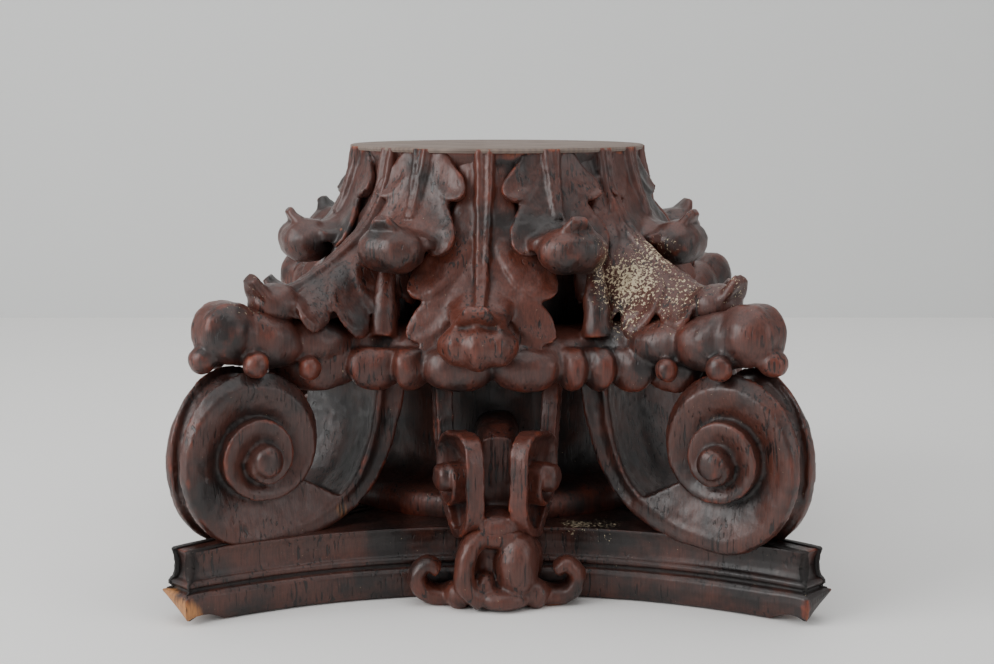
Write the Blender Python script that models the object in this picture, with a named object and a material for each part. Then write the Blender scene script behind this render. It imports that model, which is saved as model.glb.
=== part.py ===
"""Corinthian capital carved from one block of wood, standing upside down on its abacus.

Metres, +Z up. The origin is at the middle of the abacus's underside, and the front is towards -Y.
The carving repeats on all four sides: each function makes the forms of one side or one corner.
"""

import math

import bmesh
import bpy
import numpy as np

# Overall sizes
HEIGHT = 0.362
SIDES = 4

# Abacus: a square with hollow sides and cut-off horns
HORN_LONG = 0.2615
HORN_SHORT = 0.2385
ABACUS_HOLLOW_DEPTH = 0.181
ABACUS_SIDE_STEPS = 14
ABACUS_PROFILE = (
    (-0.004, 0.0040),
    (0.000, 0.0035),
    (0.006, 0.0010),
    (0.014, 0.0000),
    (0.021, 0.0010),
    (0.025, 0.0040),
    (0.0265, 0.0070),
    (0.030, 0.0055),
    (0.033, 0.0070),
    (0.036, 0.0095),
    (0.043, 0.0110),
    (0.050, 0.0100),
    (0.057, 0.0080),
)
WORN_CORNER_HEIGHT = 0.026
WORN_CORNER_RISE = 0.021
WORN_CORNER_REACH = 0.034

# Bell: height and radius of its turned profile
BELL_PROFILE = (
    (0.030, 0.120),
    (0.050, 0.152),
    (0.074, 0.154),
    (0.080, 0.146),
    (0.088, 0.118),
    (0.150, 0.112),
    (0.200, 0.118),
    (0.300, 0.118),
    (0.340, 0.122),
    (0.354, 0.127),
    (0.366, 0.128),
)

# How far the carver's rows have turned from the abacus's axes, in degrees
LEAF_TURN = -4.5
CORNER_TURN = -0.5
UPPER_LEAF_OFFSET = 24.5
CALYX_TURN = -2.2
VOLUTE_TURN = -1.5

# Leaves: radius and height along the middle of the face, from the neck to the tip
UPPER_SPINE = (
    (0.1245, 0.366),
    (0.1290, 0.345),
    (0.1370, 0.322),
    (0.1470, 0.306),
    (0.1610, 0.298),
    (0.1770, 0.300),
    (0.1890, 0.311),
)
MIDDLE_SPINE = (
    (0.1220, 0.366),
    (0.1280, 0.330),
    (0.1370, 0.295),
    (0.1510, 0.262),
    (0.1700, 0.241),
    (0.1880, 0.233),
    (0.2010, 0.236),
    (0.2080, 0.243),
)
CORNER_SPINE = (
    (0.1220, 0.366),
    (0.1320, 0.325),
    (0.1520, 0.294),
    (0.1800, 0.273),
    (0.2100, 0.258),
    (0.2350, 0.250),
    (0.2560, 0.253),
    (0.2700, 0.266),
)

UPPER_FLANK = (
    (0.1240, 0.366),
    (0.1290, 0.340),
    (0.1380, 0.315),
    (0.1490, 0.292),
    (0.1560, 0.270),
)
MIDDLE_FLANK = (
    (0.1210, 0.366),
    (0.1270, 0.330),
    (0.1360, 0.295),
    (0.1480, 0.262),
    (0.1600, 0.230),
    (0.1660, 0.195),
)

# Calyx roll over a corner: radius, height, half width and half height; and where its lobes part
CALYX_ROLL = (
    (0.150, 0.204, 0.050, 0.022),
    (0.200, 0.206, 0.043, 0.022),
    (0.245, 0.210, 0.036, 0.023),
    (0.280, 0.216, 0.030, 0.025),
    (0.306, 0.220, 0.012, 0.016),
)
CALYX_PARTINGS = (0.130, 0.195, 0.240, 0.278, 0.320)
# Knobs on each flank of the roll: radius, distance aside, height and half size
CALYX_KNOBS = ((0.283, 0.029, 0.1965, 0.0105), (0.238, 0.038, 0.1905, 0.0095))

# Hem: radius at azimuths from the middle of a side, and the azimuths where its lobes part
HEM_RADIUS = (
    (-45.0, 0.236),
    (-36.5, 0.210),
    (-28.7, 0.186),
    (-19.5, 0.178),
    (-7.6, 0.170),
    (9.6, 0.170),
    (22.2, 0.177),
    (28.0, 0.184),
    (34.0, 0.196),
    (45.0, 0.236),
)
HEM_PARTINGS = (-45.0, -33.5, -24.0, -17.0, 1.0, 18.5, 25.0, 31.0, 38.0, 45.0)
HEM_HEIGHT = 0.186

# Stalks between the leaves: azimuth either side, radius, height and half thickness
STALK = (
    (34.0, 0.150, 0.292, 0.0055),
    (32.0, 0.161, 0.262, 0.0070),
    (30.5, 0.171, 0.236, 0.0105),
    (30.0, 0.176, 0.210, 0.0130),
)

# Volutes: radius of the face's edge at each quarter turn from the bottom outwards, and how much
# further the edge flares out behind the face
VOLUTE_RADII = (0.0750, 0.0625, 0.0590, 0.0450, 0.0334, 0.0335, 0.0320, 0.0235, 0.0185, 0.0140)
VOLUTE_FLARE = (0.003, 0.003, 0.0105, 0.006, 0.0, 0.0, 0.0, 0.0, 0.0, 0.0)
VOLUTE_RADIAL = 0.281
VOLUTE_HEIGHT = 0.1222
VOLUTE_SPLAY = 11.5
VOLUTE_HALF_THICKNESS = 0.027
VOLUTE_RISE = 0.014
VOLUTE_RIM = 0.0105
VOLUTE_STEM = ((-0.134, 0.067), (-0.126, 0.025), (-0.113, -0.013), (-0.090, -0.045), (-0.050, -0.0665))
VOLUTE_STEM_WIDTH = 0.028
VOLUTE_SIZES = (0.009, 0.012, 1.5, 0.007)

# Small scrolls in the middle of each side, their radii at each eighth of a turn
HELIX_RADII = (0.0500, 0.0480, 0.0395, 0.0455, 0.0365, 0.0385, 0.0345, 0.0300, 0.0240, 0.0190, 0.0160,
               0.0135, 0.0120)
HELIX_OFFSET = 0.0363
HELIX_RADIAL = 0.187
HELIX_HEIGHT = 0.102
HELIX_FACE_ANGLE = 70.0
HELIX_STEM = ((-0.062, 0.085), (-0.052, 0.050), (-0.044, 0.010), (-0.038, -0.018))
HELIX_STEM_WIDTH = 0.015
HELIX_RIM = 0.0075
HELIX_RISE = 0.006
HELIX_THICKNESS = 0.0145
HELIX_SIZES = (0.0145, 0.0125, 0.4, 0.008)

# Flower on each side: lobes (across, radius, height, half sizes aside, out and up) and petals
FLOWER_LOBES = (
    (0.002, 0.188, 0.034, 0.035, 0.022, 0.034),
    (0.016, 0.205, 0.034, 0.018, 0.023, 0.030),
    (0.000, 0.202, 0.058, 0.027, 0.019, 0.011),
    (-0.009, 0.208, 0.020, 0.009, 0.014, 0.011),
    (0.004, 0.210, 0.009, 0.024, 0.020, 0.010),
    (-0.031, 0.206, 0.010, 0.011, 0.014, 0.012),
    (0.031, 0.206, 0.011, 0.011, 0.014, 0.012),
)
FLOWER_PETAL = (
    (-0.010, 0.208, 0.060),
    (-0.021, 0.216, 0.050),
    (-0.026, 0.219, 0.034),
    (-0.024, 0.218, 0.018),
    (-0.012, 0.216, 0.007),
)
FLOWER_CURL = (
    (0.030, 0.196, 0.010),
    (0.046, 0.197, 0.007),
    (0.060, 0.199, 0.013),
    (0.064, 0.201, 0.025),
    (0.056, 0.201, 0.034),
    (0.047, 0.200, 0.029),
)

# Mesh sizes: the carving is fused, then thinned to flat faces
VOXEL = 0.0022
FACE_COUNT = 9300
SMOOTH_ANGLE = 40.0
WOOD_COLOUR = (0.024, 0.012, 0.009, 1.0)


def radial(azimuth):
    """Outward direction at an azimuth in degrees, 0 being the front."""
    a = math.radians(azimuth)
    return np.array([math.sin(a), -math.cos(a), 0.0])


def sideways(azimuth):
    """Direction along the face at an azimuth, to the right of someone who looks at it."""
    a = math.radians(azimuth)
    return np.array([math.cos(a), math.sin(a), 0.0])


UPWARD = np.array([0.0, 0.0, 1.0])


def smooth_curve(points, count):
    """Points on a Catmull-Rom curve through the given points, at equal distances."""
    p = np.asarray(points, float)
    p = np.vstack([2 * p[0] - p[1], p, 2 * p[-1] - p[-2]])
    dense = []
    for a, b, c, d in zip(p, p[1:], p[2:], p[3:]):
        for f in np.linspace(0.0, 1.0, 12, endpoint=False):
            dense.append(
                0.5 * (2 * b + (c - a) * f + (2 * a - 5 * b + 4 * c - d) * f**2
                       + (3 * b - 3 * c + d - a) * f**3)
            )
    dense = np.array(dense + [p[-2]])
    steps = np.linalg.norm(np.diff(dense, axis=0), axis=1)
    length = np.concatenate([[0.0], np.cumsum(steps)])
    wanted = np.linspace(0.0, length[-1], count)
    return np.column_stack([np.interp(wanted, length, dense[:, k]) for k in range(p.shape[1])])


class Block:
    """The block of wood: closed shells that overlap and are fused at the end."""

    def __init__(self):
        self.points = []
        self.faces = []

    def skin(self, rings, ring_shut=False):
        """Skins rings of points into a closed shell, its ends capped or joined."""
        rings = np.asarray(rings, float)
        count, size = rings.shape[:2]
        start = len(self.points)
        self.points.extend(rings.reshape(-1, 3).tolist())
        last = count if ring_shut else count - 1
        for i in range(last):
            a = start + i * size
            b = start + ((i + 1) % count) * size
            for j in range(size):
                k = (j + 1) % size
                self.faces.append((a + j, a + k, b + k, b + j))
        if ring_shut:
            return
        for ring, base in ((rings[0], start), (rings[-1], start + (count - 1) * size)):
            centre = len(self.points)
            self.points.append(ring.mean(axis=0).tolist())
            for j in range(size):
                self.faces.append((centre, base + j, base + (j + 1) % size))


def oval(count, power=1.0):
    """Unit oval around a section, squarer as the power falls."""
    a = np.linspace(0.0, 2 * math.pi, count, endpoint=False)
    c = np.cos(a)
    s = np.sin(a)
    return np.sign(c) * np.abs(c) ** power, np.sign(s) * np.abs(s) ** power


def add_bulb(block, centre, azimuth, size, bulges=1, crease=0.0):
    """A rounded knob of the given radial, sideways and upward half sizes, creased into bulges."""
    out = radial(azimuth)
    side = sideways(azimuth)
    rings = []
    for q in -np.cos(np.linspace(0.06, math.pi - 0.06, 15)):
        dent = 1.0 - crease * (0.5 + 0.5 * math.cos(math.pi * bulges * (q + 1.0)))
        if abs(q) > 1.0 - 1.0 / bulges:
            dent = max(dent, 1.0 - crease * (1.0 - abs(q)) * bulges)
        reach = math.sqrt(1.0 - q * q) * dent
        c, s = oval(14, 0.95)
        rings.append(
            centre + q * size[1] * side
            + np.outer(c * reach * size[0], out) + np.outer(s * reach * size[2], UPWARD)
        )
    block.skin(rings)


def add_horn(block, path, radii, flat=1.0, across=None):
    """A tapering round branch along a path, its section flattened across a direction."""
    path = np.asarray(path, float)
    along = np.gradient(path, axis=0)
    along /= np.linalg.norm(along, axis=1)[:, None]
    reference = UPWARD if across is None else across
    c, s = oval(10)
    rings = []
    for p, d, r in zip(path, along, radii):
        side = np.cross(reference, d)
        side /= np.linalg.norm(side)
        other = np.cross(d, side)
        rings.append(p + np.outer(c * r, side) + np.outer(s * r * flat, other))
    block.skin(rings)


class Leaf:
    """Places points by their distance across, along and above a leaf's curved face."""

    def __init__(self, block, azimuth, spine, cup=0.0):
        self.block = block
        self.azimuth = azimuth
        self.cup = cup
        self.curve = smooth_curve(spine, 60)
        steps = np.linalg.norm(np.diff(self.curve, axis=0), axis=1)
        self.distance = np.concatenate([[0.0], np.cumsum(steps)])
        self.length = self.distance[-1]
        self.slope = np.gradient(self.curve, axis=0)
        self.slope /= np.linalg.norm(self.slope, axis=1)[:, None]
        self.normal = np.column_stack([-self.slope[:, 1], self.slope[:, 0]])

    def place(self, across, along, above):
        across, along, above = np.broadcast_arrays(across, along, above)
        r = np.interp(along, self.distance, self.curve[:, 0])
        z = np.interp(along, self.distance, self.curve[:, 1])
        nr = np.interp(along, self.distance, self.normal[:, 0])
        nz = np.interp(along, self.distance, self.normal[:, 1])
        beyond = along - np.clip(along, 0.0, self.length)
        r = r + beyond * self.slope[-1, 0]
        z = z + beyond * self.slope[-1, 1]
        h = above - self.cup * across**2 * np.clip(2.0 * along / self.length, 0.0, 1.0) ** 2
        angle = np.radians(self.azimuth) + across / np.maximum(r, 0.1)
        reach = r + h * nr
        return np.stack([reach * np.sin(angle), -reach * np.cos(angle), z + h * nz], axis=-1)

    def add_blade(self, widths, thickness):
        """The sheet that carries the fingers: half widths and thicknesses from neck to tip."""
        f = np.linspace(0.0, 1.0, 22)
        half = np.interp(f, np.linspace(0, 1, len(widths)), widths)
        deep = np.interp(f, np.linspace(0, 1, len(thickness)), thickness)
        c, s = oval(20, 0.6)
        rings = []
        for k in range(len(f)):
            above = s * deep[k] / 2 - deep[k] / 2
            rings.append(self.place(c * half[k], f[k] * self.length, above))
        self.block.skin(rings)

    def add_finger(self, side, root, tip, width, lift, thick=0.011, hollow=0.004):
        """One rounded finger from its root on the midrib to its tip, both as (across, along)."""
        f = np.linspace(0.0, 1.0, 14)
        root = np.array(root)
        tip = np.array(tip)
        turn = np.array([root[0] + 0.12 * (tip[0] - root[0]), root[1] + 0.68 * (tip[1] - root[1])])
        line = np.outer((1 - f) ** 2, root) + np.outer(2 * f * (1 - f), turn) + np.outer(f**2, tip)
        run = np.gradient(line, axis=0)
        run /= np.linalg.norm(run, axis=1)[:, None]
        cross = np.column_stack([run[:, 1], -run[:, 0]])
        swell = 0.45 + 0.55 * np.sin(np.clip(f / 0.7, 0, 1) * math.pi / 2)
        round_end = np.sqrt(np.clip(1.0 - (np.clip(f - 0.76, 0, 1) / 0.245) ** 2, 0.02, 1.0))
        half = width * swell * round_end
        c, s = oval(16, 0.7)
        rings = []
        for k in range(len(f)):
            top = lift * f[k] ** 1.2 - 0.003
            bowl = hollow * (1 - c**2) * min(1.0, 1.6 * f[k]) * round_end[k]
            above = top + s * thick / 2 - np.where(s > 0, bowl, 0.0)
            across = side * (line[k, 0] + c * half[k] * cross[k, 0])
            along = line[k, 1] + c * half[k] * cross[k, 1]
            rings.append(self.place(across, along, above))
        self.block.skin(rings)

    def add_rib(self, start, end, width=0.0032, high=0.0055):
        """The midrib: two raised cords side by side."""
        c, s = oval(8)
        for side in (-1, 1):
            rings = []
            for k in np.linspace(0.0, 1.0, 16):
                size = width * (1.25 - 0.6 * k)
                along = start + k * (end - start)
                top = high * (1.0 - 0.8 * k**4)
                rings.append(self.place(side * size * 1.05 + c * size, along, 0.4 * high + s * top))
            self.block.skin(rings)


def cut_neck_and_base(mesh):
    """Cuts the block flat at the neck and under the abacus."""
    for height, direction in ((0.0, -1.0), (HEIGHT, 1.0)):
        geometry = mesh.verts[:] + mesh.edges[:] + mesh.faces[:]
        cut = bmesh.ops.bisect_plane(
            mesh, geom=geometry, dist=1e-5, plane_co=(0, 0, height), plane_no=(0, 0, direction),
            clear_outer=True,
        )
        edges = [e for e in cut["geom_cut"] if isinstance(e, bmesh.types.BMEdge)]
        bmesh.ops.holes_fill(mesh, edges=edges, sides=0)
    bmesh.ops.triangulate(mesh, faces=mesh.faces[:])


def add_abacus(block):
    """The slab, its moulded edge following the hollow sides and the cut-off horns."""
    rise = HORN_LONG - ABACUS_HOLLOW_DEPTH
    radius = (HORN_SHORT**2 + rise**2) / (2 * rise)
    quarter = []
    for f in np.linspace(-1.0, 1.0, ABACUS_SIDE_STEPS + 1):
        x = f * HORN_SHORT
        y = ABACUS_HOLLOW_DEPTH + radius - math.sqrt(radius**2 - x**2)
        quarter.append((x, -y))
    quarter = np.array(quarter)
    outline = []
    for k in range(SIDES):
        a = math.radians(90 * k)
        turn = np.array([[math.cos(a), -math.sin(a)], [math.sin(a), math.cos(a)]])
        outline.extend((quarter @ turn.T).tolist())
    outline = np.array(outline)
    ahead = np.roll(outline, -1, axis=0) - outline
    ahead /= np.linalg.norm(ahead, axis=1)[:, None]
    behind = np.roll(ahead, 1, axis=0)
    outward = np.column_stack([ahead[:, 1] + behind[:, 1], -(ahead[:, 0] + behind[:, 0])])
    outward /= np.linalg.norm(outward, axis=1)[:, None]
    outward /= np.sum(outward * np.column_stack([ahead[:, 1], -ahead[:, 0]]), axis=1)[:, None]
    rings = []
    for z, inset in ABACUS_PROFILE:
        ring = outline - outward * inset
        rings.append(np.column_stack([ring, np.full(len(ring), z)]))
    block.skin(rings)


def add_bell(block):
    """The turned bell between the abacus and the neck."""
    a = np.linspace(0.0, 2 * math.pi, 64, endpoint=False)
    rings = []
    for z, r in BELL_PROFILE:
        rings.append(np.column_stack([r * np.cos(a), r * np.sin(a), np.full(64, z)]))
    block.skin(rings)


def add_upper_leaf(block, azimuth):
    """A short leaf of the row next to the neck: a spoon-shaped tip over a ball, and side fingers."""
    leaf = Leaf(block, azimuth, UPPER_SPINE, cup=10.0)
    leaf.add_blade((0.036, 0.032, 0.029, 0.029, 0.031, 0.032, 0.027, 0.017, 0.006),
                   (0.012, 0.016, 0.018, 0.016, 0.012, 0.010, 0.010, 0.010, 0.007))
    leaf.add_rib(0.0, 0.068)
    flank = Leaf(block, azimuth, UPPER_FLANK)
    for side in (-1, 1):
        flank.add_finger(side, (0.008, -0.012), (0.041, 0.046), 0.012, 0.007)
        flank.add_finger(side, (0.006, 0.000), (0.038, 0.094), 0.015, 0.009)
        leaf.add_finger(side, (0.004, 0.026), (0.030, 0.090), 0.010, 0.001)
    centre = 0.1765 * radial(azimuth) + 0.2815 * UPWARD
    add_bulb(block, centre, azimuth, (0.0235, 0.0295, 0.0205), 2, 0.08)


def add_middle_leaf(block, azimuth):
    """The long leaf in the middle of a side, its tip a ball of three bulges."""
    leaf = Leaf(block, azimuth, MIDDLE_SPINE, cup=6.0)
    leaf.add_blade((0.026, 0.028, 0.030, 0.030, 0.030, 0.030, 0.029, 0.022, 0.010),
                   (0.010, 0.014, 0.018, 0.018, 0.014, 0.010, 0.010, 0.010, 0.008))
    leaf.add_rib(0.0, 0.150, 0.0034, 0.0065)
    flank = Leaf(block, azimuth, MIDDLE_FLANK)
    flank.add_blade((0.026, 0.030, 0.036, 0.040, 0.042, 0.044, 0.040, 0.030),
                    (0.012, 0.016, 0.020, 0.022, 0.024, 0.026, 0.024, 0.016))
    for side in (-1, 1):
        flank.add_finger(side, (0.009, 0.020), (0.057, 0.130), 0.016, 0.012, hollow=0.003)
        flank.add_finger(side, (0.009, 0.062), (0.056, 0.164), 0.014, 0.014)
        flank.add_finger(side, (0.010, 0.090), (0.046, 0.182), 0.012, 0.016)
    centre = 0.193 * radial(azimuth) + 0.2085 * UPWARD
    add_bulb(block, centre, azimuth, (0.023, 0.0325, 0.0205), 3, 0.15)


def add_corner_leaf(block, azimuth):
    """The leaf that sweeps out over a corner, its hooked tip turned up and its sides hanging."""
    leaf = Leaf(block, azimuth, CORNER_SPINE, cup=22.0)
    leaf.add_blade((0.026, 0.032, 0.036, 0.037, 0.035, 0.031, 0.026, 0.020, 0.007),
                   (0.010, 0.016, 0.020, 0.024, 0.026, 0.024, 0.020, 0.014, 0.008))
    leaf.add_rib(0.0, 0.180, 0.0034, 0.0060)
    for side in (-1, 1):
        leaf.add_finger(side, (0.008, 0.030), (0.050, 0.106), 0.013, 0.008)
        leaf.add_finger(side, (0.008, 0.060), (0.050, 0.132), 0.013, 0.008)
        leaf.add_finger(side, (0.008, 0.090), (0.046, 0.158), 0.013, 0.007)
        leaf.add_finger(side, (0.007, 0.124), (0.034, 0.182), 0.011, 0.004)
    centre = 0.250 * radial(azimuth) + 0.240 * UPWARD
    add_bulb(block, centre, azimuth, (0.021, 0.022, 0.017))


def scallop(place, partings):
    """How far a lobe swells at a place, from 0 where two lobes part to 1 in a lobe's middle."""
    k = int(np.clip(np.searchsorted(partings, place) - 1, 0, len(partings) - 2))
    t = 2.0 * (place - partings[k]) / (partings[k + 1] - partings[k]) - 1.0
    return math.sqrt(max(1.0 - t * t, 0.0))


def add_calyx_corner(block, azimuth):
    """The rolled calyx leaf between a corner leaf and the volute, its flanks in rounded lobes."""
    out = radial(azimuth)
    across = sideways(azimuth)
    c, s = oval(24, 0.85)
    rings = []
    for r, z, half, tall in smooth_curve(CALYX_ROLL, 40):
        swell = scallop(r, CALYX_PARTINGS)
        rings.append(r * out + z * UPWARD + np.outer(c * half * (0.80 + 0.20 * swell), across)
                     + np.outer(s * tall * (0.86 + 0.14 * swell), UPWARD))
    block.skin(rings)
    add_bulb(block, 0.2915 * out + 0.2205 * UPWARD, azimuth, (0.0275, 0.0265, 0.0270), 2, 0.10)
    add_bulb(block, 0.3130 * out + 0.2010 * UPWARD, azimuth, (0.0115, 0.0125, 0.0110))
    for side in (-1, 1):
        for r, aside, z, size in CALYX_KNOBS:
            add_bulb(block, r * out + side * aside * across + z * UPWARD, azimuth, (size, size, size))


def add_hem(block, azimuth):
    """The scalloped lower edge of the calyx all round, rolled outwards."""
    places, radii = zip(*HEM_RADIUS)
    c, s = oval(16)
    rings = []
    for side in range(SIDES):
        for place in np.linspace(-45.0, 45.0, 90, endpoint=False):
            swell = scallop(place, HEM_PARTINGS) ** 1.2
            reach = np.interp(place, places, radii) - 0.006 + 0.010 * swell
            out = radial(azimuth + 90.0 * side + place)
            middle = reach * out + (HEM_HEIGHT + 0.004 - 0.004 * swell) * UPWARD
            rings.append(middle + np.outer(c * (0.011 + 0.004 * swell), out)
                         + np.outer(s * (0.011 + 0.007 * swell), UPWARD))
    block.skin(rings, ring_shut=True)


def add_stalks(block, azimuth):
    """The two stalks that rise from the hem between the leaves of one side."""
    for side in (-1, 1):
        path = [r * radial(azimuth + side * a) + z * UPWARD for a, r, z, size in STALK]
        sizes = smooth_curve([(size, 0.0, k) for k, (a, r, z, size) in enumerate(STALK)], 12)[:, 0]
        add_horn(block, smooth_curve(path, 12), sizes, 1.0, radial(azimuth))


def add_calyx_ring(block):
    """The plain roll under the leaves that the hem's lobes stand on."""
    c, s = oval(12)
    rings = []
    for a in np.linspace(0.0, 360.0, 72, endpoint=False):
        middle = 0.146 * radial(a) + 0.198 * UPWARD
        rings.append(middle + np.outer(c * 0.032, radial(a)) + np.outer(s * 0.020, UPWARD))
    block.skin(rings, ring_shut=True)


class Scroll:
    """A flat spiral scroll with its stem, drawn in a plane and given its depth behind it.

    The spiral's outer radius is given at each quarter turn, from the bottom outwards. The stem
    comes down to the bottom on the inner side, its outer edge given as (outward, upward) points.
    The plane leans to the middle of the scroll's block, which lies at a distance behind it.
    """

    QUARTER_STEPS = 8
    STEM_STEPS = 14

    def __init__(self, block, centre, outward, face, radii, per_turn, stem, sizes):
        self.block = block
        self.centre = centre
        self.outward = outward
        self.face = face
        self.stem_width, self.rim, self.rise, self.back, self.lean = sizes
        turns = (len(radii) - 1) / per_turn
        count = round(4 * self.QUARTER_STEPS * turns)
        self.turn = np.linspace(0.0, turns, count + 1)
        self.radius = self.soften(radii)
        angle = 2 * math.pi * self.turn - math.pi / 2
        self.ray = np.column_stack([np.cos(angle), np.sin(angle)])
        spiral = self.ray * self.radius[:, None]
        path = smooth_curve(np.vstack([stem, spiral[0:1]]), self.STEM_STEPS)[:-1]
        self.line = np.vstack([path, spiral])
        run = np.gradient(self.line, axis=0)
        run /= np.linalg.norm(run, axis=1)[:, None]
        self.inward = np.column_stack([-run[:, 1], run[:, 0]])
        self.on_stem = np.concatenate([np.linspace(1.0, 0.0, len(path)), np.zeros(len(spiral))])

    def soften(self, values):
        """Spreads values given along the spiral over its steps, without corners."""
        place = np.linspace(0.0, self.turn[-1], len(values))
        curve = smooth_curve(np.column_stack([place, values]), 400)
        return np.interp(self.turn, curve[:, 0], curve[:, 1])

    def point(self, place, depth):
        """A point at (outward, upward) in the plane, None meaning the middle of the block."""
        p, q = place
        if depth is None:
            depth = -(self.back - p * self.lean)
        return self.centre + p * self.outward + q * UPWARD + depth * self.face

    def add_stem(self, depth, reach):
        """The channelled band of the stem and the thick part behind it, into the spiral's start."""
        count = self.STEM_STEPS + reach
        band = []
        core = []
        for k in range(count):
            fade = self.on_stem[k]
            wide = self.rim + (self.stem_width - self.rim) * fade
            dip = 0.0008 + 0.0035 * fade
            section = ((0.0, -depth), (0.0, -0.001), (0.08, 0.0), (0.24, -0.0002), (0.5, -dip),
                       (0.76, -0.0002), (0.92, 0.0), (1.0, -0.001), (1.0, -depth))
            band.append([
                self.point(self.line[k] + self.inward[k] * wide * u, v) for u, v in section
            ])
            core.append([
                self.point(self.line[k] + self.inward[k] * u, d)
                for u, d in ((0.003, None), (0.003, -0.003), (wide - 0.001, -0.003), (wide - 0.001, None))
            ])
        self.block.skin(band)
        self.block.skin(core)

    def add_whorls(self, flare, depth, floor, bowl):
        """The spiral itself: its flared edge, the face sinking inwards, and the next turn's foot."""
        last = len(self.radius) - 1
        whole_turn = 4 * self.QUARTER_STEPS
        flare = self.soften(flare)
        angle = np.degrees(np.arctan2(self.line[:, 1], self.line[:, 0]))
        stations = []
        for k in range(self.STEM_STEPS - 1):
            if -150.0 < angle[k] < -90.0:
                back = int(round((angle[k] + 90.0) / 90.0 * self.QUARTER_STEPS))
                reach = float(np.linalg.norm(self.line[k]))
                ray = self.line[k] / reach
                stations.append((ray, reach, self.radius[whole_turn + back], flare[0], 0.0))
        for k in range(last + 1):
            inner = self.radius[k + whole_turn] if k + whole_turn <= last else 0.006
            stations.append((self.ray[k], self.radius[k], inner, flare[k], (k / last) ** 1.3))
        rings = []
        for ray, reach, inner, extra, height in stations:
            top = self.rise * height
            edge = reach + extra
            inner -= 0.005
            face = reach - 0.004
            profile = [(edge - 0.007, None), (edge - 0.007, -depth), (edge, 0.001 - depth),
                       (reach, top - 0.0012), (reach - 0.001, top)]
            for f in (0.0, 0.25, 0.5, 0.75, 0.9, 1.0):
                profile.append((face + (inner - face) * f, top - floor * f**bowl))
            profile.append((inner, None))
            rings.append([self.point(ray * r, d) for r, d in profile])
        self.block.skin(rings)

    def add_eye(self, radius, high):
        """The boss that the spiral ends in."""
        c, s = oval(16)
        rings = []
        for r, d in ((1.0, -0.4 * self.back), (1.0, self.rise), (0.92, self.rise + high * 0.6),
                     (0.6, self.rise + high), (0.2, self.rise + high * 1.1)):
            rings.append([self.point((radius * r * u, radius * r * v), d) for u, v in zip(c, s)])
        self.block.skin(rings)


def add_volute(block, azimuth):
    """A corner volute: two scrolls that splay apart towards the bell, a groove between them."""
    out = radial(azimuth)
    across = sideways(azimuth)
    splay = math.radians(VOLUTE_SPLAY)
    middle = VOLUTE_HALF_THICKNESS / math.cos(splay) - 0.001
    sizes = (VOLUTE_STEM_WIDTH, VOLUTE_RIM, VOLUTE_RISE, middle, math.tan(splay))
    depth, floor, bowl, boss = VOLUTE_SIZES
    for side in (-1, 1):
        outward = math.cos(splay) * out - side * math.sin(splay) * across
        face = math.sin(splay) * out + side * math.cos(splay) * across
        centre = VOLUTE_RADIAL * out + side * VOLUTE_HALF_THICKNESS * across + VOLUTE_HEIGHT * UPWARD
        scroll = Scroll(block, centre, outward, face, VOLUTE_RADII, 4, VOLUTE_STEM, sizes)
        scroll.add_stem(depth, 6)
        scroll.add_whorls(VOLUTE_FLARE, depth, floor, bowl)
        scroll.add_eye(0.0125, boss)


def add_helices(block, azimuth):
    """The pair of small scrolls in the middle of a side, back to back."""
    out = radial(azimuth)
    across = sideways(azimuth)
    angle = math.radians(HELIX_FACE_ANGLE)
    depth, floor, bowl, boss = HELIX_SIZES
    sizes = (HELIX_STEM_WIDTH, HELIX_RIM, HELIX_RISE, HELIX_THICKNESS, 0.0)
    for side in (-1, 1):
        face = side * math.sin(angle) * across + math.cos(angle) * out
        outward = -side * math.cos(angle) * across + math.sin(angle) * out
        centre = HELIX_RADIAL * out + side * HELIX_OFFSET * across + HELIX_HEIGHT * UPWARD
        scroll = Scroll(block, centre, outward, face, HELIX_RADII, 8, HELIX_STEM, sizes)
        scroll.add_stem(depth, 8)
        scroll.add_whorls((0.0, 0.0), depth, floor, bowl)
        scroll.add_eye(0.0120, boss)
    web = []
    for r, half, tall in ((0.100, 0.020, 0.040), (0.160, 0.020, 0.038), (0.180, 0.016, 0.030)):
        c, s = oval(12, 0.6)
        web.append(r * out + HELIX_HEIGHT * UPWARD + np.outer(c * half, across) + np.outer(s * tall, UPWARD))
    block.skin(web)
    add_bulb(block, 0.197 * out + 0.066 * UPWARD, azimuth, (0.024, 0.022, 0.013))


def add_flower(block, azimuth):
    """The flower on the middle of the abacus's side, with a curled petal each way."""
    out = radial(azimuth)
    across = sideways(azimuth)
    for x, r, z, *size in FLOWER_LOBES:
        add_bulb(block, r * out + x * across + z * UPWARD, azimuth, (size[1], size[0], size[2]))
    path = [r * out + x * across + z * UPWARD for x, r, z in FLOWER_PETAL]
    add_horn(block, smooth_curve(path, 14), np.full(14, 0.0085), 1.3, out)
    for side in (-1, 1):
        path = [r * out + side * x * across + z * UPWARD for x, r, z in FLOWER_CURL]
        add_horn(block, smooth_curve(path, 14), np.linspace(0.0095, 0.0065, 14), 1.5, out)


def wear_front_corners(work):
    """Pushes up the lower edge at the outer corner of the two front horns, where it's worn away."""
    for vertex in work.verts:
        x, y, z = vertex.co
        if z > WORN_CORNER_HEIGHT or y > 0.0:
            continue
        along = (y + HORN_LONG) / (HORN_LONG - HORN_SHORT)
        inward = (HORN_LONG + HORN_SHORT - abs(x) + y) / math.sqrt(2.0)
        share = min(max(along, 0.0), 1.0) * max(1.0 - max(inward, 0.0) / WORN_CORNER_REACH, 0.0)
        gap = WORN_CORNER_HEIGHT - z
        vertex.co.z = WORN_CORNER_HEIGHT - gap * (1.0 - WORN_CORNER_RISE * share / WORN_CORNER_HEIGHT)


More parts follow.
